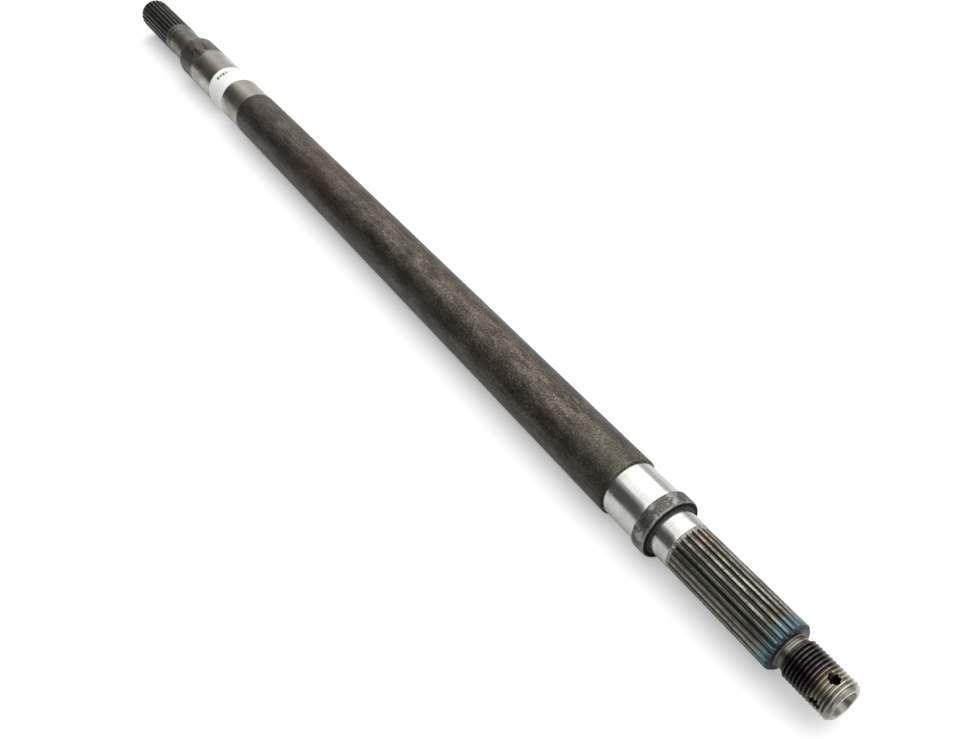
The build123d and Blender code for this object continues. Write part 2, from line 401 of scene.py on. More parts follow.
# %% Thread
PITCH = 1.5
THREAD_DEPTH = 0.92
GROOVE_BENDS = [0.0, 0.08, 0.17, 0.35, 0.54, 0.63, PITCH / 2]
GROOVE_DEPTHS = [THREAD_DEPTH, THREAD_DEPTH, 0.82, 0.48, 0.145, 0.02, 0.0]
THREAD_END_CHAMFER = 1.3
THREAD_LEAD_IN = 0.75
THREAD_CENTRE = 5.2
THREAD_PITCHES = int((ENDS["thread"] - STARTS["thread"]) / PITCH)


def helix_shift(angles):
    """How far along X the groove has come at each angle. The first groove is met at -Z."""
    return PITCH * (angles + TOP) / (2 * math.pi)


def thread_radius(x, angles):
    """Radius of the threaded stretch, with a short lead-in and the chamfer on its end."""
    start, end = STARTS["thread"], ENDS["thread"]
    from_groove = (x - start - PITCH / 2 - helix_shift(angles) + PITCH / 2) % PITCH - PITCH / 2
    crest = RADII["thread"]
    cut = crest - np.interp(np.abs(from_groove), GROOVE_BENDS, GROOVE_DEPTHS)
    lead_in = RADII["relief"] + 0.25 + (x - start) * (crest - RADII["relief"]) / THREAD_LEAD_IN
    chamfer = crest - THREAD_END_CHAMFER + np.maximum(0, end - x)
    return np.minimum(np.minimum(cut, lead_in), chamfer)


print("the thread has", THREAD_PITCHES, "full turns")

# %% [markdown]
# The slanted rings are the hard part: after one turn a ring has climbed a pitch, so its last
# point joins the first point of the ring a pitch further on, and not its own first point.

# %% Thread mesh
def thread_rings():
    """Slanted rings over the thread, flattened against the two ends."""
    start, end = STARTS["thread"], ENDS["thread"]
    bends = GROOVE_BENDS + [PITCH - bend for bend in GROOVE_BENDS[-2:0:-1]]
    rings = []
    for pitch_number in range(-3, THREAD_PITCHES + 3):
        for bend in bends:
            x = start + PITCH / 2 + pitch_number * PITCH + bend + helix_shift(ROUND)
            x = np.clip(x, start, end)
            rings.append(ring(x, thread_radius(x, ROUND), ROUND))
    return rings, len(bends)


def slanted_quads(rows, count, rows_per_turn):
    """Quads of slanted rings: after a full turn a ring meets the one that is a pitch further on."""
    quads = []
    for row in range(rows - 1):
        for step in range(count):
            over = step + 1 == count
            turn = (step + 1) % count
            here, there = row * count + step, (row + (rows_per_turn if over else 0)) * count + turn
            if there + count < rows * count:
                quads.append((here, there, there + count, here + count))
    return quads


def threaded_end():
    """Relief, thread, end face and lathe centre in one closed mesh."""
    start, end = STARTS["thread"], ENDS["thread"]
    relief = RADII["relief"]
    neck_x = STARTS["relief"]
    fillet = [(neck_x - EMBED, relief + 0.5), (neck_x, relief + 0.5)]
    fillet += [(neck_x + 0.6 * math.sin(turn), relief + 0.5 * (1 - math.sin(turn)))
               for turn in (0.3, 0.7, 1.1, math.pi / 2)]
    fillet += [(neck_x + 1.4, relief), (neck_x + 2.4, relief), (start - 0.25, relief)]
    before = [ring(x, r, ROUND) for x, r in fillet]
    before.append(ring(start, thread_radius(np.full(AROUND, start), ROUND), ROUND))
    slanted, per_turn = thread_rings()
    rim = RADII["thread"] - THREAD_END_CHAMFER
    after = [ring(end, radius, ROUND) for radius in (rim, rim - 0.5, THREAD_CENTRE + 0.12)]
    centre = centre_rings(end, -1, ROUND, mouth=THREAD_CENTRE, pilot=2.0, pilot_length=4.5)
    after += centre[::-1]
    middles = [[[neck_x - EMBED, 0, 0]], after[-1].mean(axis=0, keepdims=True)]
    points = np.concatenate(before + slanted + after + middles)
    faces = ring_quads(len(before), AROUND)
    base = len(before) * AROUND
    slants = slanted_quads(len(slanted), AROUND, per_turn)
    faces += [tuple(corner + base for corner in quad) for quad in slants]
    base += len(slanted) * AROUND
    faces += ring_quads(len(after), AROUND, base)
    faces += fan(len(points) - 2, 0, AROUND, flipped=True)
    faces += fan(len(points) - 1, base + (len(after) - 1) * AROUND, AROUND)
    return points, faces


def merged_piece(name, points, faces):
    """Like new_piece, but points that fell on one another become one."""
    made = new_piece(name, points, faces)
    work = bmesh.new()
    work.from_mesh(made.data)
    bmesh.ops.remove_doubles(work, verts=work.verts, dist=2e-7)
    bmesh.ops.dissolve_degenerate(work, edges=work.edges, dist=1e-7)
    loose = [v for v in work.verts if not v.link_faces]
    bmesh.ops.delete(work, geom=loose, context="VERTS")
    open_edges = sum(1 for edge in work.edges if len(edge.link_faces) != 2)
    print(name, "open or doubled edges after merging:", open_edges)
    work.to_mesh(made.data)
    work.free()
    return smooth(made)


thread = merged_piece("shaft_thread", *threaded_end())

# %% [markdown]
# Two split-pin holes cross in the middle of the threaded end. They are drilled after the
# thread is cut, so they are cut here the same way, with boolean modifiers, from cutters
# that flare a little at the surface where the drill left a burr and the pin wore it off.

# %% Split-pin holes
HOLE_RADIUS = 2.0
HOLE_FROM_END = 6.0
HOLE_FLARE = 0.55


def hole_cutter(turned_by):
    """A drill-shaped cutter across the axle, flared at both surfaces."""
    angles = round_angles(72)
    surface = RADII["thread"]
    half = [(0.0, HOLE_RADIUS), (surface - 0.75, HOLE_RADIUS)]
    half += [(surface - 0.3, HOLE_RADIUS + 0.1), (surface + 0.6, HOLE_RADIUS + HOLE_FLARE)]
    stops = [(-x, r) for x, r in half[:0:-1]] + half
    cutter = turned_piece("hole_cutter", [ring(x, r, angles) for x, r in stops])
    move = Matrix.Translation(((ENDS["thread"] - HOLE_FROM_END) * 0.001, 0, 0))
    cutter.data.transform(move @ Matrix.Rotation(turned_by, 4, "X") @ Matrix.Rotation(math.pi / 2, 4, "Y"))
    return cutter


for turned_by in (0.0, math.pi / 2):
    cutter = hole_cutter(turned_by)
    cut = thread.modifiers.new("split-pin hole", "BOOLEAN")
    cut.operation = "DIFFERENCE"
    cut.solver = "EXACT"
    cut.object = cutter
    bpy.context.view_layer.objects.active = thread
    bpy.ops.object.modifier_apply(modifier=cut.name)
    bpy.data.objects.remove(cutter)
smooth(thread)

# %% [markdown]
# The collar that holds the bearing on its seat. It is a turned ring with a generous round
# in front and black oxide all over, which lies in slight lumps. Its section is a closed
# loop, so the rings go once round that loop instead of from end to end.

# %% Collar
collar_low, collar_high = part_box("bearing_collar")
COLLAR_BORE = RADII["hub_journal"] + 0.02
COLLAR_OUTSIDE = collar_high.y * 1000
COLLAR_START = collar_low.x * 1000
COLLAR_END = collar_high.x * 1000
FRONT_ROUND = 1.2
BACK_ROUND = 0.6
BORE_CHAMFER = 0.7


def collar_profile():
    """The collar's section: along the outside, down the front face, back through the bore."""
    back = edge_round(COLLAR_START, COLLAR_OUTSIDE, BACK_ROUND, 1)
    flat_steps = np.linspace(COLLAR_START + BACK_ROUND, COLLAR_END - FRONT_ROUND, 8)[1:-1]
    flat = [(x, COLLAR_OUTSIDE) for x in flat_steps]
    front = edge_round(COLLAR_END, COLLAR_OUTSIDE, FRONT_ROUND, -1, steps=8)
    face_steps = np.linspace(COLLAR_OUTSIDE - FRONT_ROUND, COLLAR_BORE + BORE_CHAMFER, 4)[1:]
    face = [(COLLAR_END, radius) for radius in face_steps]
    bore = [(x, COLLAR_BORE) for x in (COLLAR_END - BORE_CHAMFER, COLLAR_START + 2.0, COLLAR_START)]
    return back + flat + front + face + bore


def ring_shaped_piece(name, loop, lumps, seed):
    """A closed ring from a section loop, with lumps that fade out towards the bore."""
    rings = []
    for x, radius in loop:
        outer = np.clip((radius - COLLAR_BORE) / (COLLAR_OUTSIDE - COLLAR_BORE), 0, 1) ** 3
        sunk = lumps * outer * (0.5 + 0.5 * waves(x * 3, ROUND, seed, 26.0, 9))
        rings.append(ring(x, radius - sunk, ROUND))
    faces = ring_quads(len(rings), AROUND)
    last = (len(rings) - 1) * AROUND
    steps = [(k, (k + 1) % AROUND) for k in range(AROUND)]
    faces += [(last + here, last + after, after, here) for here, after in steps]
    return new_piece(name, np.concatenate(rings), faces)


collar = ring_shaped_piece("bearing_collar_ring", collar_profile(), 0.09, 41)

# %% [markdown]
# The paper label. Paper is thin, but it has two sides and an edge, so it is a real strip
# bent round the journal, with a small gap at the back and its free ends a little lifted.

# %% Label
label_low, label_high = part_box("paper_label")
LABEL_START = label_low.x * 1000
LABEL_END = label_high.x * 1000
PAPER = 0.12
END_LIFT, LIFTED_LENGTH = 0.22, 3.0
RAGGED = 0.05
LABEL_GAP_AT = TOP + math.radians(200)
LABEL_HALF_GAP = 4.25 / RADII["inner_journal"] / 2


def label_strip():
    """Points and faces of the strip: a thin loop of paper section, swept round the journal."""
    sweep = np.linspace(LABEL_GAP_AT + LABEL_HALF_GAP, LABEL_GAP_AT - LABEL_HALF_GAP + 2 * math.pi, 220)
    across = np.linspace(0, 1, 9)
    section = [(share, PAPER) for share in across] + [(share, 0.005) for share in across[::-1]]
    from_end = np.minimum(sweep - sweep[0], sweep[-1] - sweep) * RADII["inner_journal"]
    lift = END_LIFT * np.clip(1 - from_end / LIFTED_LENGTH, 0, 1) ** 2
    ragged = RAGGED * waves(np.zeros_like(sweep), sweep, 52, 10.0, 9)
    points = []
    for step, angle in enumerate(sweep):
        for share, rise in section:
            width = LABEL_END - LABEL_START - 2 * RAGGED
            x = LABEL_START + RAGGED + width * share + ragged[step] * (share - 0.5)
            radius = RADII["inner_journal"] + rise + lift[step]
            points.append((x, radius * math.cos(angle), radius * math.sin(angle)))
    count = len(section)
    faces = []
    for step in range(len(sweep) - 1):
        for k in range(count):
            here, after = step * count + k, step * count + (k + 1) % count
            faces.append((here, here + count, after + count, after))
    faces.append(tuple(range(count)))
    faces.append(tuple(range(len(points) - 1, len(points) - count - 1, -1)))
    return points, faces


label = new_piece("paper_label_band", *label_strip())

# %% [markdown]
# Finishes are built from shader nodes, because noise in three dimensions has no seam where
# a picture wrapped round the bar would have one. Small helpers keep the node code short:
# one adds a node and wires it, and the others add the sums and mixes that finishes are made of.

# %% Node helpers
def node(tree, kind, inputs=None, **settings):
    """Adds a shader node. inputs gives each socket a number, a colour or another node's output."""
    made = tree.nodes.new("ShaderNode" + kind)
    for key, value in settings.items():
        setattr(made, key, value)
    for key, value in (inputs or {}).items():
        if isinstance(value, bpy.types.NodeSocket):
            tree.links.new(value, made.inputs[key])
        else:
            made.inputs[key].default_value = value
    return made


def calc(tree, operation, *values):
    return node(tree, "Math", dict(enumerate(values)), operation=operation).outputs[0]


def plus(tree, first, second):
    return calc(tree, "ADD", first, second)


def minus(tree, first, second):
    return calc(tree, "SUBTRACT", first, second)


def times(tree, product, *others):
    for other in others:
        product = calc(tree, "MULTIPLY", product, other)
    return product


def fade(tree, value, low, high):
    """0 at low, 1 at high and smooth between. With low above high it falls instead."""
    inputs = {"Value": value, "From Min": low, "From Max": high}
    return node(tree, "MapRange", inputs, interpolation_type="SMOOTHSTEP").outputs[0]


def spread(tree, value, low, high):
    """Takes a mask from 0..1 to low..high."""
    return node(tree, "MapRange", {"Value": value, "To Min": low, "To Max": high}).outputs[0]


print("helpers for sums and masks are ready")

# %% [markdown]
# Colours are mixed in layers, as a painter glazes: a base, then stains, rust, wear and tint
# over it, each let through by its own mask. They are given as they look on a screen and
# turned into linear light here, because shaders add and multiply real light.

# %% Colour and noise helpers
def shade(red, green, blue):
    """A screen colour, 0 to 255, in the linear light that shaders use."""
    screen = [value / 255 for value in (red, green, blue)]
    return (*(c / 12.92 if c <= 0.04045 else ((c + 0.055) / 1.055) ** 2.4 for c in screen), 1.0)


def mixed(tree, share, under, over, blend_type="MIX"):
    """One colour laid over another by a mask."""
    inputs = {0: share, 6: under, 7: over}
    return node(tree, "Mix", inputs, data_type="RGBA", blend_type=blend_type).outputs[2]


def laid(tree, color, over, *masks):
    """A screen colour laid over another colour by the product of some masks."""
    return mixed(tree, times(tree, *masks), color, shade(*over))


def dimmed(tree, color, factor):
    return mixed(tree, 1.0, color, factor, "MULTIPLY")


def blended(tree, share, under, over):
    """Like mixed, for numbers."""
    return node(tree, "Mix", {0: share, 2: under, 3: over}).outputs[0]


def cloud(tree, size, detail=3.0, roughness=0.55, stretch=(1.0, 1.0, 1.0), distortion=0.0):
    """Cloudy noise from 0 to 1, with patches of about this size in millimetres."""
    place = node(tree, "TexCoord").outputs["Object"]
    if stretch != (1.0, 1.0, 1.0):
        place = node(tree, "VectorMath", {0: place, 1: stretch}, operation="MULTIPLY").outputs[0]
    inputs = {"Vector": place, "Scale": calc(tree, "DIVIDE", 1000.0, size)}
    inputs.update({"Detail": detail, "Roughness": roughness, "Distortion": distortion})
    return node(tree, "TexNoise", inputs).outputs[0]


print("mill scale is about", [round(c, 3) for c in shade(66, 56, 50)], "in linear light")

# %% [markdown]
# An effect that several finishes share is a node group, made once. Its sockets are named
# here, and the group gives back only values and colours that change over the surface. The
# helpers above work in a group's tree just as they do in a material's.

# %% Group helpers
def effect(name, inputs, outputs):
    """An empty node group with named sockets, and its input and output nodes."""
    group = bpy.data.node_groups.new(name, "ShaderNodeTree")
    for title, value in inputs.items():
        kind = "NodeSocketColor" if isinstance(value, tuple) else "NodeSocketFloat"
        group.interface.new_socket(title, in_out="INPUT", socket_type=kind).default_value = value
    for title, kind in outputs.items():
        group.interface.new_socket(title, in_out="OUTPUT", socket_type="NodeSocket" + kind)
    print("effect", name, "gives", ", ".join(outputs))
    return group, group.nodes.new("NodeGroupInput").outputs, group.nodes.new("NodeGroupOutput").inputs


def give(group, gives, values):
    """Wires a group's results to its output sockets."""
    for title, value in values.items():
        group.links.new(value, gives[title])
    return group


def placed(tree, group, **values):
    """Places a group in a material and sets its inputs. Spaces in names are written as _."""
    made = tree.nodes.new("ShaderNodeGroup")
    made.node_tree = group
    for key, value in values.items():
        socket = made.inputs[key.replace("_", " ")]
        if isinstance(value, bpy.types.NodeSocket):
            tree.links.new(value, socket)
        else:
            socket.default_value = value
    return made.outputs


print("node groups can be made")

# %% [markdown]
# Most effects need to know where on the axle they are. The object's own coordinates are in
# metres from the bearing seat, so this group turns them into millimetres along the axle and
# out from its axis, and degrees round it, with 0 on top and 90 on the side of low Y.

# %% Group: place on the shaft
def build_shaft_place():
    outputs = {"Along": "Float", "Radius": "Float", "Around": "Float"}
    group, _, gives = effect("Shaft place", {}, outputs)
    place = node(group, "TexCoord").outputs["Object"]
    x, y, z = node(group, "SeparateXYZ", {0: place}).outputs
    from_axis = calc(group, "SQRT", plus(group, times(group, y, y), times(group, z, z)))
    turn = calc(group, "ARCTAN2", times(group, y, -1.0), z)
    results = {
        "Along": times(group, x, 1000.0),
        "Radius": times(group, from_axis, 1000.0),
        "Around": times(group, turn, math.degrees(1)),
    }
    return give(group, gives, results)


SHAFT_PLACE = build_shaft_place()

# %% [markdown]
# Mill scale is the skin of blue-black oxide that hot steel grows. It is mottled in patches
# of about a centimetre, drawn out along the bar by the rolls, and grainy up close, with
# pale specks where grains have flaked off and brown where rust has started.

# %% Group: mill scale
def build_mill_scale():
    inputs = {
        "Dark": shade(62, 56, 50), "Brown": shade(98, 90, 81), "Pale": shade(176, 168, 156),
        "Patch Size": 6.0, "Grain Size": 0.8, "Specks": 0.7,
    }
    outputs = {"Color": "Color", "Roughness": "Float", "Height": "Float"}
    group, given, gives = effect("Mill scale", inputs, outputs)
    patches = cloud(group, given["Patch Size"], 5.0, 0.62, (0.45, 1.0, 1.0), 0.4)
    grain = cloud(group, given["Grain Size"], 3.0, 0.7)
    drawn_out = cloud(group, times(group, given["Patch Size"], 0.35), 4.0, 0.6, (0.12, 1.0, 1.0))
    tone = plus(group, times(group, patches, 0.55), times(group, drawn_out, 0.45))
    color = mixed(group, fade(group, tone, 0.36, 0.62), given["Dark"], given["Brown"])
    color = dimmed(group, color, spread(group, fade(group, grain, 0.36, 0.64), 0.5, 1.5))
    flaked = times(group, fade(group, grain, 0.58, 0.74), fade(group, patches, 0.34, 0.66))
    results = {
        "Color": mixed(group, times(group, flaked, given["Specks"]), color, given["Pale"]),
        "Roughness": spread(group, tone, 0.52, 0.36),
        "Height": plus(group, grain, times(group, patches, 0.8)),
    }
    return give(group, gives, results)


MILL_SCALE = build_mill_scale()

# %% [markdown]
# A grinding wheel leaves very fine rings, too fine to model, and handling leaves smudges
# and a few scratches along the axle. The rings are noise squeezed hard along X.

# %% Group: ground surface
def build_grinding():
    inputs = {"Ring Spacing": 0.22, "Smudge Size": 9.0}
    outputs = {"Rings": "Float", "Smudges": "Float", "Scratches": "Float"}
    group, given, gives = effect("Grinding", inputs, outputs)
    smudges = cloud(group, given["Smudge Size"], 4.0, 0.6)
    scratches = cloud(group, 0.5, 2.0, 0.5, (0.02, 1.0, 1.0))
    results = {
        "Rings": cloud(group, given["Ring Spacing"], 2.0, 0.6, (1.0, 0.012, 0.012)),
        "Smudges": fade(group, smudges, 0.35, 0.7),
        "Scratches": fade(group, scratches, 0.60, 0.72),
    }
    return give(group, gives, results)


GRINDING = build_grinding()

# %% [markdown]
# Teeth and threads wear bright on their crests and stay dark in their roots. A mask by
# distance from the axis gives that, broken up by noise so that no edge is perfect.

# %% Group: worn crests
def build_worn_crests():
    inputs = {"Radius": 10.0, "Crest": 10.3, "Depth": 0.8, "Breakup": 0.25}
    outputs = {"Crest Mask": "Float", "Root Mask": "Float"}
    group, given, gives = effect("Worn crests", inputs, outputs)
    below = calc(group, "DIVIDE", minus(group, given["Crest"], given["Radius"]), given["Depth"])
    broken = times(group, minus(group, cloud(group, 0.8, 3.0, 0.65), 0.5), given["Breakup"])
    level = plus(group, below, broken)
    masks = {"Crest Mask": fade(group, level, 0.30, 0.04), "Root Mask": fade(group, level, 0.45, 0.95)}
    return give(group, gives, masks)


WORN_CRESTS = build_worn_crests()

# %% [markdown]
# Induction hardening and tempering leave heat colours: straw, then purple, then blue, then
# a thin teal, as the oxide film grows. They follow one another along the axle, so the group
# takes a share from 0 to 1 along the heated stretch, and noise makes the bands uneven.

# %% Group: heat tint
HEAT_START = ENDS["hub_spline"] - 9.0
HEAT_BANDS = [
    (0.03, (112, 122, 124), 0.0),
    (0.11, (98, 128, 134), 0.55),
    (0.20, (84, 116, 128), 0.85),
    (0.26, (60, 70, 92), 0.92),
    (0.34, (50, 44, 47), 0.92),
    (0.56, (36, 30, 32), 0.94),
    (0.64, (46, 40, 58), 0.90),
    (0.73, (92, 78, 58), 0.80),
    (0.80, (158, 144, 104), 0.55),
    (0.88, (178, 170, 148), 0.25),
    (1.00, (190, 188, 182), 0.0),
]


def ramp(tree, share, stops):
    """A colour ramp from a list of places, colours and opacities."""
    made = node(tree, "ValToRGB", {"Fac": share})
    elements = made.color_ramp.elements
    while len(elements) < len(stops):
        elements.new(0.5)
    for element, (where, color, opacity) in zip(elements, stops):
        element.position = where
        element.color = (*color[:3], opacity)
    return made.outputs


def build_heat_tint():
    inputs = {"Share": 0.0, "Unevenness": 0.1}
    group, given, gives = effect("Heat tint", inputs, {"Color": "Color", "Amount": "Float"})
    wander = times(group, minus(group, cloud(group, 5.0, 3.0, 0.6), 0.5), given["Unevenness"])
    stops = [(where, shade(*color), amount) for where, color, amount in HEAT_BANDS]
    bands = ramp(group, plus(group, given["Share"], wander), stops)
    return give(group, gives, {"Color": bands[0], "Amount": bands[1]})


def heat_share(tree, along):
    """0 where the colours start on the hub spline, and 1 at the end of the thread."""
    return calc(tree, "DIVIDE", minus(tree, along, HEAT_START), ENDS["thread"] - HEAT_START)


HEAT_TINT = build_heat_tint()

# %% [markdown]
# Painted shade: the colour is darkened on the lower part of the near side of the bar. The factor is lowest
# half-way down the near side and is 1 again before the bar's outline.

# %% Group: painted shade on the low side
def build_low_side():
    inputs = {"Around": 0.0, "Shade": 0.65}
    group, given, gives = effect("Low side", inputs, {"Factor": "Float"})
    low = times(group, fade(group, given["Around"], 38.0, 62.0), fade(group, given["Around"], 110.0, 94.0))
    darker = times(group, low, minus(group, given["Shade"], 1.0))
    return give(group, gives, {"Factor": plus(group, 1.0, darker)})


LOW_SIDE = build_low_side()

# %% [markdown]
# A finish is a Principled shader fed by those groups. Values that are the same all over,
# such as a plain metallic share, are set on the shader itself.

# %% Finish helpers
def finish(name, metallic=1.0, specular=0.5):
    """A new material. Returns it with its node tree and its Principled shader."""
    material = bpy.data.materials.new(name)
    material.use_nodes = True
    shader = material.node_tree.nodes["Principled BSDF"]
    shader.inputs["Metallic"].default_value = metallic
    shader.inputs["Specular IOR Level"].default_value = specular
    print("finish", name)
    return material, material.node_tree, shader


def feed(tree, shader, color, roughness, height, strength, depth_mm):
    """Wires colour, roughness and bump into a shader."""
    tree.links.new(color, shader.inputs["Base Color"])
    tree.links.new(roughness, shader.inputs["Roughness"])
    bump = node(tree, "Bump", {"Height": height, "Strength": strength, "Distance": depth_mm * 0.001})
    tree.links.new(bump.outputs[0], shader.inputs["Normal"])


def painted_low_shade(tree, color, place, darkest):
    """A colour darkened on the low side, as painted shade."""
    return dimmed(tree, color, placed(tree, LOW_SIDE, Around=place["Around"], Shade=darkest)["Factor"])


print("finishes can be made")

# %% [markdown]
# The body is plain mill scale. Its hub end was heated again when the spline was hardened,
# which left it duller and greener, and rust has started in long faint streaks.

# %% Finish: mill scale on the body
def body_finish():
    material, tree, shader = finish("mill scale", metallic=0.88)
    place = placed(tree, SHAFT_PLACE)
    scale = placed(tree, MILL_SCALE)
    reheated = fade(tree, place["Along"], ENDS["body"] - 42, ENDS["body"] - 4)
    color = laid(tree, scale["Color"], (70, 72, 62), reheated, cloud(tree, 14.0), 0.7)
    rusty = fade(tree, cloud(tree, 30.0, 3.0, 0.5, (0.3, 1.0, 1.0)), 0.52, 0.72)
    color = laid(tree, color, (92, 66, 56), rusty, 0.2)
    # The lower part of the near side is darkened as painted shade.
    feed(tree, shader, painted_low_shade(tree, color, place, 0.58), scale["Roughness"], scale["Height"], 0.5, 0.14)
    return material


BODY_FINISH = body_finish()

# %% [markdown]
# Ground steel is a mirror that has been softened: bright and smooth, a little brighter and
# darker from ring to ring, and duller where fingers have left smudges. A painted grey would
# look flat here, so the shader is fully metallic and the brightness comes from the room.

# %% Finish: ground steel
def ground_color(tree, ground, bright, dull):
    color = mixed(tree, ground["Smudges"], shade(*bright), shade(*dull))
    return dimmed(tree, color, spread(tree, fade(tree, ground["Rings"], 0.3, 0.7), 0.88, 1.06))


def ground_roughness(tree, ground, low, high):
    return plus(tree, spread(tree, ground["Smudges"], low, high), times(tree, ground["Scratches"], 0.10))


def seat_finish(name, bright, dull):
    material, tree, shader = finish(name)
    ground = placed(tree, GRINDING)
    color = ground_color(tree, ground, bright, dull)
    feed(tree, shader, color, ground_roughness(tree, ground, 0.17, 0.27), ground["Rings"], 0.12, 0.02)
    return material


SEAT_FINISH = seat_finish("ground seat", (206, 205, 202), (194, 194, 191))
HUB_JOURNAL_FINISH = seat_finish("ground journal", (200, 200, 196), (186, 187, 183))

# %% [markdown]
# The inner journal is ground over most of its length, but the wheel stopped short of the
# shoulder, so scale is left there with a ragged edge. One mask, a distance from the shoulder
# with noise added, chooses between the two surfaces for colour, gloss and bump alike.

# %% Finish: inner journal, part ground and part scale
def inner_journal_finish():
    material, tree, shader = finish("patchy journal")
    place = placed(tree, SHAFT_PLACE)
    along = minus(tree, place["Along"], STARTS["inner_journal"])
    edge = spread(tree, fade(tree, place["Around"], 72.0, 30.0), 22.0, 26.0)
    wander = spread(tree, cloud(tree, 12.0, 3.0, 0.6), -9.0, 9.0)
    ground_mask = fade(tree, minus(tree, along, plus(tree, edge, wander)), -1.5, 2.5)
    tones = {"Brown": shade(120, 112, 102), "Pale": shade(206, 198, 184)}
    scale = placed(tree, MILL_SCALE, Patch_Size=5.0, Specks=1.0, **tones)
    ground = placed(tree, GRINDING)
    stain = fade(tree, cloud(tree, 16.0, 4.0, 0.6, (0.5, 1.0, 1.0)), 0.42, 0.68)
    steel = ground_color(tree, ground, (204, 201, 193), (176, 171, 160))
    steel = laid(tree, steel, (132, 118, 106), stain, 0.5)
    # The scale's colour is darkened on the lower part of the near side as painted shade.
    color = mixed(tree, ground_mask, painted_low_shade(tree, scale["Color"], place, 0.55), steel)
    color = laid(tree, color, (116, 115, 102), fade(tree, along, 6.5, 2.5), 0.75)
    rough_steel = plus(tree, ground_roughness(tree, ground, 0.2, 0.3), times(tree, stain, 0.12))
    rough = blended(tree, ground_mask, scale["Roughness"], rough_steel)
    height = blended(tree, ground_mask, scale["Height"], times(tree, ground["Rings"], 0.15))
    tree.links.new(spread(tree, ground_mask, 0.85, 1.0), shader.inputs["Metallic"])
    feed(tree, shader, color, rough, height, 0.3, 0.1)
    return material


INNER_JOURNAL_FINISH = inner_journal_finish()

# %% [markdown]
# The neck was turned and not ground, and gear oil has dried on it, so it is greener, duller
# and more coarsely ringed than the journal.

# %% Finish: neck
def neck_finish():
    material, tree, shader = finish("oiled neck", metallic=0.97)
    ground = placed(tree, GRINDING, Ring_Spacing=0.5, Smudge_Size=6.0)
    color = ground_color(tree, ground, (142, 142, 128), (104, 104, 92))
    feed(tree, shader, color, ground_roughness(tree, ground, 0.32, 0.45), ground["Rings"], 0.3, 0.04)
    return material


NECK_FINISH = neck_finish()

# %% [markdown]
# Both splines have bright tooth tips and dark gaps. The inner one is oily and greenish. The hub's has rust
# in its gaps beside the journal, a bright ring where the hob ran out, grimy patches that are kept to its
# top and near side as painted shade, and heat colours on its last few millimetres.

# %% Finishes: the two splines
def spline_base(tree, crest_radius, crest, flank, root):
    """Place, wear masks, dirt and colour of teeth."""
    crest, flank, root = shade(*crest), shade(*flank), shade(*root)
    place = placed(tree, SHAFT_PLACE)
    worn = placed(tree, WORN_CRESTS, Radius=place["Radius"], Crest=crest_radius, Depth=TOOTH_DEPTH)
    dirt = cloud(tree, 3.0, 4.0, 0.65, (0.3, 1.0, 1.0))
    gap_color = mixed(tree, worn["Root Mask"], mixed(tree, dirt, flank, root), root)
    specks = cloud(tree, 0.8, 3.0, 0.7, (0.6, 1.0, 1.0))
    grubby = plus(tree, times(tree, dirt, 0.6), times(tree, specks, 0.5))
    tip_color = mixed(tree, fade(tree, grubby, 0.44, 0.68), crest, flank)
    return place, worn, dirt, mixed(tree, worn["Crest Mask"], gap_color, tip_color)


def inner_spline_finish():
    material, tree, shader = finish("oiled spline", metallic=0.96)
    tones = (112, 116, 104), (60, 63, 56), (28, 31, 26)
    place, _, dirt, color = spline_base(tree, RADII["inner_spline"], *tones)
    land = fade(tree, place["Along"], STARTS["land"] - 2.2, STARTS["land"] - 0.2)
    color = laid(tree, color, (112, 114, 104), land)
    feed(tree, shader, color, spread(tree, dirt, 0.3, 0.5), cloud(tree, 0.7), 0.25, 0.03)
    return material


def hub_spline_finish():
    material, tree, shader = finish("tinted spline", metallic=0.95)
    tones = (170, 167, 156), (88, 86, 78), (54, 52, 47)
    place, worn, dirt, color = spline_base(tree, RADII["hub_spline"], *tones)
    along, around, start = place["Along"], place["Around"], STARTS["hub_spline"]
    rusty = fade(tree, cloud(tree, 7.0, 4.0, 0.7), 0.46, 0.62)
    in_gap = spread(tree, worn["Crest Mask"], 0.8, 0.25)
    color = laid(tree, color, (104, 74, 60), fade(tree, along, start + 15, start + 1), rusty, in_gap)
    # Grimy patches are laid only over the top and the near side, partly dirt and partly painted shade.
    grimy = fade(tree, cloud(tree, 16.0, 3.0, 0.6, (0.35, 1.0, 1.0)), 0.42, 0.62)
    painted_shade_band = times(tree, fade(tree, around, -36.0, -14.0), fade(tree, around, 82.0, 66.0))
    color = laid(tree, color, (62, 62, 56), grimy, painted_shade_band, 0.55)
    color = laid(tree, color, (164, 160, 148), fade(tree, along, start + 1.5, start + 0.6), 0.8)
    heat = placed(tree, HEAT_TINT, Share=heat_share(tree, along), Unevenness=0.12)
    amount = times(tree, heat["Amount"], spread(tree, worn["Root Mask"], 0.85, 0.35))
    color = mixed(tree, amount, color, heat["Color"])
    feed(tree, shader, color, spread(tree, dirt, 0.28, 0.46), cloud(tree, 0.6), 0.25, 0.03)
    return material


INNER_SPLINE_FINISH = inner_spline_finish()
HUB_SPLINE_FINISH = hub_spline_finish()
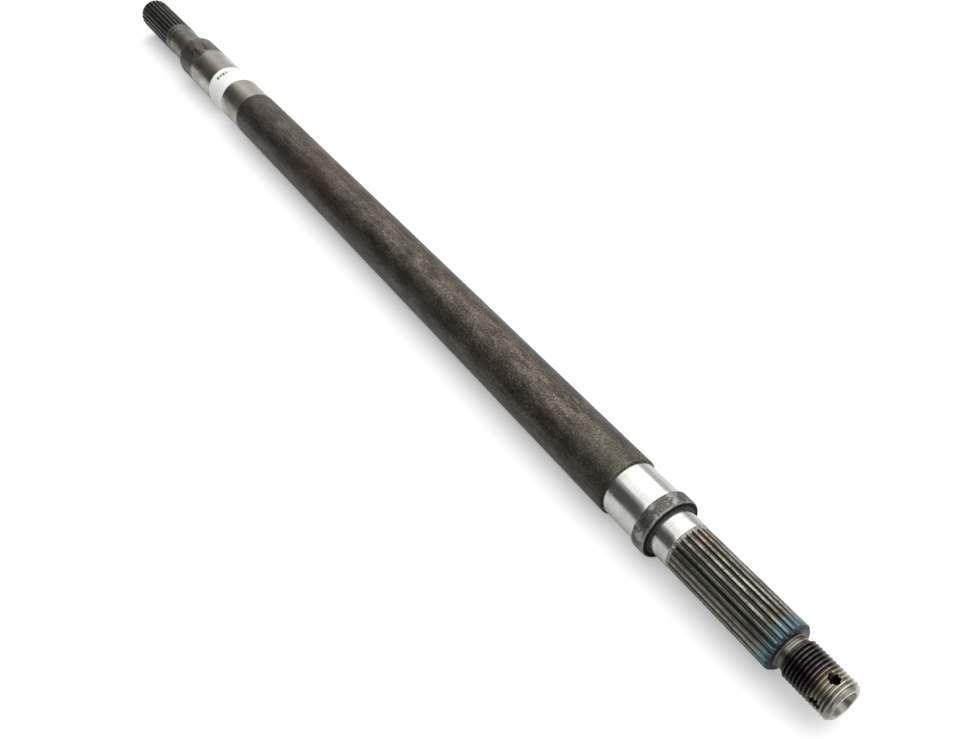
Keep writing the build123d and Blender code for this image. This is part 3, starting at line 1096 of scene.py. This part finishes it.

# %% [markdown]
# The thread shows nearly all the heat colours: black and purple at its start, straw by the split-pin
# holes, and clean steel on its end, where it was faced after hardening. The relief groove before it still
# has its turning marks, and the holes are darkened to a reddish brown inside.

# %% Finish: thread
def thread_finish():
    material, tree, shader = finish("tinted thread", metallic=0.95)
    place = placed(tree, SHAFT_PLACE)
    along, radius = place["Along"], place["Radius"]
    start, end, crest = STARTS["thread"], ENDS["thread"], RADII["thread"]
    worn = placed(tree, WORN_CRESTS, Radius=radius, Crest=crest, Depth=THREAD_DEPTH, Breakup=0.35)
    grime = cloud(tree, 2.2, 4.0, 0.65)
    color = mixed(tree, worn["Root Mask"], shade(112, 110, 104), shade(44, 41, 36))
    color = laid(tree, color, (206, 203, 196), worn["Crest Mask"])

    heat = placed(tree, HEAT_TINT, Share=heat_share(tree, along), Unevenness=0.16)
    rubbed = times(tree, worn["Crest Mask"], fade(tree, grime, 0.45, 0.6))
    color = mixed(tree, times(tree, heat["Amount"], spread(tree, rubbed, 1.0, 0.84)), color, heat["Color"])
    color = laid(tree, color, (196, 190, 176), fade(tree, along, end - 9.5, end - 5.0), 0.4)

    marks = fade(tree, cloud(tree, 0.9, 2.0, 0.6, (1.0, 0.02, 0.02)), 0.38, 0.62)
    turned = mixed(tree, marks, shade(48, 43, 40), shade(150, 144, 134))
    relief = fade(tree, along, start + 0.6, start - 0.4)
    color = mixed(tree, times(tree, relief, 0.9), color, turned)

    faced = mixed(tree, fade(tree, grime, 0.35, 0.65), shade(206, 202, 194), shade(150, 146, 138))
    rim = times(tree, fade(tree, along, end - 1.5, end - 0.9), fade(tree, radius, 5.0, 5.5))
    color = mixed(tree, rim, color, faced)
    # The insides of the holes are darkened to a reddish brown.
    bored = times(tree, fade(tree, radius, 6.9, 6.2), fade(tree, along, end - 3.4, end - 4.4))
    color = laid(tree, color, (38, 22, 20), bored)
    color = laid(tree, color, (52, 46, 42), fade(tree, grime, 0.55, 0.8), 0.5)
    rough = spread(tree, grime, 0.2, 0.38)
    # The lower part of the near side is darkened as painted shade.
    feed(tree, shader, painted_low_shade(tree, color, place, 0.5), rough, cloud(tree, 0.5), 0.2, 0.03)
    return material


THREAD_FINISH = thread_finish()

# %% [markdown]
# The collar was blackened after turning. The oxide has come away in patches, its front edge is painted
# bright, partly as rubbed wear and partly as a painted highlight, and its front face has kept the deepest
# black.

# %% Finish: collar
def collar_finish():
    material, tree, shader = finish("black oxide", metallic=0.9)
    place = placed(tree, SHAFT_PLACE)
    along, radius = place["Along"], place["Radius"]
    lumps = cloud(tree, 3.0, 3.0, 0.5, distortion=0.3)
    fine = cloud(tree, 0.9, 3.0, 0.7)
    bare = fade(tree, plus(tree, lumps, times(tree, fine, 0.25)), 0.62, 0.72)
    color = mixed(tree, fade(tree, fine, 0.3, 0.7), shade(62, 61, 55), shade(108, 107, 100))
    color = laid(tree, color, (150, 149, 145), bare, spread(tree, fine, 0.45, 1.0))

    # The front edge is painted light, partly as rubbed wear and partly as a painted highlight.
    rubbed_and_highlit_front = fade(tree, along, COLLAR_END - 1.15, COLLAR_END - 0.7)
    rim = times(tree, rubbed_and_highlit_front, fade(tree, radius, COLLAR_OUTSIDE - 0.6, COLLAR_OUTSIDE - 0.35))
    color = laid(tree, color, (164, 162, 158), rim, spread(tree, fine, 0.1, 0.8))
    front = fade(tree, along, COLLAR_END - 0.5, COLLAR_END - 0.12)
    face = times(tree, front, fade(tree, radius, COLLAR_OUTSIDE - 0.45, COLLAR_OUTSIDE - 0.8))
    color = laid(tree, color, (28, 28, 26), face)
    mouth_out = fade(tree, radius, COLLAR_BORE + 0.95, COLLAR_BORE + 0.72)
    mouth_in = fade(tree, radius, COLLAR_BORE + 0.3, COLLAR_BORE + 0.55)
    color = laid(tree, color, (140, 138, 132), mouth_out, mouth_in, 0.9)
    rough = blended(tree, face, spread(tree, bare, 0.48, 0.30), 0.7)
    feed(tree, shader, color, rough, plus(tree, lumps, times(tree, fine, 0.5)), 0.4, 0.12)
    return material


COLLAR_FINISH = collar_finish()

# %% [markdown]
# The label is plain white paper. The real one carries a small printed row. Printed words are
# left off, and a row of plain dashes of different heights stands for it, some of them faint.

# %% Finish: label paper
MARKS = 9
MARK_PITCH = 9.0
MARK_FIRST = 36.0
MARK_ROW = 5.8


def marks_mask(tree, place):
    """Dashes across the label, MARK_PITCH degrees apart, in a row MARK_ROW mm from its edge."""
    steps = calc(tree, "DIVIDE", minus(tree, MARK_FIRST, place["Around"]), MARK_PITCH)
    number = calc(tree, "FLOOR", steps)
    from_middle = calc(tree, "ABSOLUTE", minus(tree, minus(tree, steps, number), 0.5))
    seeded = node(tree, "TexWhiteNoise", {"W": number}, noise_dimensions="1D").outputs[0]
    from_row = calc(tree, "ABSOLUTE", minus(tree, place["Along"], LABEL_START + MARK_ROW))
    past_end = minus(tree, from_row, spread(tree, seeded, 1.1, 1.8))
    dash = times(tree, fade(tree, from_middle, 0.40, 0.30), fade(tree, past_end, 0.15, -0.15))
    counted = times(tree, fade(tree, number, -0.6, -0.4), fade(tree, number, MARKS - 0.4, MARKS - 0.6))
    return times(tree, dash, counted, spread(tree, fade(tree, number, 2.4, 3.6), 0.9, 0.35))


def label_finish():
    material, tree, shader = finish("label paper", metallic=0.0, specular=0.35)
    place = placed(tree, SHAFT_PLACE)
    fibres = cloud(tree, 0.6, 4.0, 0.7)
    smudge = fade(tree, cloud(tree, 9.0, 3.0, 0.5), 0.5, 0.8)
    color = mixed(tree, times(tree, smudge, 0.5), shade(243, 242, 240), shade(233, 232, 231))
    color = laid(tree, color, (222, 221, 218), fade(tree, fibres, 0.4, 0.8), 0.3)
    color = laid(tree, color, (64, 62, 72), marks_mask(tree, place))
    feed(tree, shader, color, spread(tree, fibres, 0.55, 0.75), fibres, 0.15, 0.02)
    return material


LABEL_FINISH = label_finish()

# %% [markdown]
# Each drawn stretch gets its finish, rides on the CAD body that it belongs to and stands
# for its CAD node. The stretches of the shaft all stand for the one shaft.

# %% Dress the pieces
def dress(piece, material, body_name, stands_for):
    piece.data.materials.clear()
    piece.data.materials.append(material)
    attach(piece, body_name)
    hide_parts(stands_for)
    print(piece.name, "is", material.name, "and rides on", body_name)


SHAFT_FINISHES = [
    (inner_spline, INNER_SPLINE_FINISH),
    (neck, NECK_FINISH),
    (inner_journal, INNER_JOURNAL_FINISH),
    (body, BODY_FINISH),
    (bearing_seat, SEAT_FINISH),
    (hub_journal, HUB_JOURNAL_FINISH),
    (hub_spline, HUB_SPLINE_FINISH),
    (thread, THREAD_FINISH),
]
for piece, material in SHAFT_FINISHES:
    dress(piece, material, "axle", "axle_shaft")
dress(collar, COLLAR_FINISH, "collar", "bearing_collar")
dress(label, LABEL_FINISH, "axle", "paper_label")

# %% [markdown]
# The camera looks down from beyond the hub end, so the near end is large and the far end
# small. Its place and the way it looks are in the CAD frame. The two level directions that
# go with it, across the picture and away from it, line up the studio later.

# %% Camera
CAMERA_AT = Vector((0.1847, -0.1650, 0.3103))
CAMERA_LOOKS = Vector((-0.6316, 0.3486, -0.6930)).normalized()
CAMERA_UP = Vector((-0.5569, 0.4179, 0.7182))

camera = bpy.data.objects.new("camera", bpy.data.cameras.new("camera"))
side = CAMERA_LOOKS.cross(CAMERA_UP).normalized()
axes = Matrix((side, side.cross(CAMERA_LOOKS), -CAMERA_LOOKS)).transposed()
camera.matrix_world = Matrix.Translation(CAMERA_AT) @ axes.to_4x4()
camera.data.sensor_width = 36.0
camera.data.lens = 37.86
camera.data.clip_start = 0.01
bpy.context.scene.collection.objects.link(camera)
bpy.context.scene.camera = camera

RIGHTWARDS = Vector((side.x, side.y, 0)).normalized()
AWAY = Vector((CAMERA_UP.x, CAMERA_UP.y, 0)).normalized()
print("across the picture", RIGHTWARDS, "away from the camera", AWAY)

# %% [markdown]
# The axle lies on a white table. A pale matt plane would do, but it would come out grey at
# the far side, where less light falls, so it also glows a little for the camera alone. The
# steel, which reflects the table, still sees it as it is.

# %% Floor
FLOOR_REACH = 3.0
FLOOR_TONE = 0.76
FLOOR_GLOW = 0.29


def plain_floor():
    low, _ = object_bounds()
    signs = [(-1, -1), (1, -1), (1, 1), (-1, 1)]
    mesh = bpy.data.meshes.new("studio_floor")
    mesh.from_pydata([(FLOOR_REACH * x, FLOOR_REACH * y, low.z) for x, y in signs], [], [(0, 1, 2, 3)])
    made = bpy.data.objects.new("studio_floor", mesh)
    bpy.context.scene.collection.objects.link(made)
    material, tree, shader = finish("white table", metallic=0.0, specular=0.2)
    shader.inputs["Base Color"].default_value = (FLOOR_TONE, FLOOR_TONE, FLOOR_TONE, 1.0)
    shader.inputs["Roughness"].default_value = 0.8
    seen = node(tree, "LightPath").outputs["Is Camera Ray"]
    tree.links.new(times(tree, seen, FLOOR_GLOW), shader.inputs["Emission Strength"])
    shader.inputs["Emission Color"].default_value = (1.0, 1.0, 1.0, 1.0)
    mesh.materials.append(material)
    print("floor at", round(low.z * 1000, 2), "mm")


plain_floor()

# %% [markdown]
# The light is one large soft rectangle overhead, lined up with the camera. Round steel shows
# its shape as a white stripe, so the stripe's edge matters: a wider and weaker rectangle
# behind the first makes it soft. A rectangle gives the same brightness whatever its size
# when its power grows with its area.

# %% Light
def soft_light(name, right, away, height, width, depth, radiance):
    """A level rectangle of light, placed in metres across the picture, away and up."""
    data = bpy.data.lights.new(name, "AREA")
    data.shape = "RECTANGLE"
    data.size, data.size_y = width, depth
    data.energy = radiance * math.pi * width * depth
    made = bpy.data.objects.new(name, data)
    made.location = RIGHTWARDS * right + AWAY * away + Vector((0, 0, height))
    made.rotation_euler = (0, 0, math.atan2(RIGHTWARDS.y, RIGHTWARDS.x))
    bpy.context.scene.collection.objects.link(made)
    print(name, "has", round(data.energy, 1), "W")


soft_light("overhead softbox", 0.17, 0.30, height=0.90, width=1.86, depth=3.0, radiance=1.12)
soft_light("softbox edge", 0.15, 0.30, height=0.92, width=2.5, depth=3.2, radiance=0.32)

# %% [markdown]
# The rest of what the steel mirrors is the room: a bright wall behind the table and on its
# right, and on the left the dark line where the room is open. A painted sphere would do it
# too, but the world behind everything needs no mesh. The camera itself sees it white.

# %% Room
WALLS = [
    (-180, 0.20), (-120, 0.12), (-62, 0.04), (-48, 0.12), (-35, 0.22), (-22, 0.42), (-5, 0.70),
    (30, 0.66), (75, 0.60), (115, 0.60), (150, 0.35), (180, 0.20),
]


def room_walls():
    """Walls whose brightness depends on the bearing, from 0 straight away from the camera."""
    world = bpy.data.worlds.new("studio room")
    bpy.context.scene.world = world
    world.use_nodes = True
    tree = world.node_tree
    looking = node(tree, "TexCoord").outputs["Generated"]
    rightwards, away = (
        node(tree, "VectorMath", {0: looking, 1: direction}, operation="DOT_PRODUCT").outputs["Value"]
        for direction in (RIGHTWARDS, AWAY)
    )
    bearing = calc(tree, "DIVIDE", calc(tree, "ARCTAN2", rightwards, away), 2 * math.pi)
    stops = [(degrees / 360 + 0.5, (level, level, level), 1.0) for degrees, level in WALLS]
    walls = ramp(tree, plus(tree, bearing, 0.5), stops)[0]
    seen = node(tree, "LightPath").outputs["Is Camera Ray"]
    color = mixed(tree, seen, walls, (1.0, 1.0, 1.0, 1.0))
    tree.links.new(color, tree.nodes["Background"].inputs["Color"])
    print("room walls from", min(level for _, level in WALLS), "to", max(level for _, level in WALLS))


room_walls()
bpy.context.scene.view_settings.view_transform = "Standard"
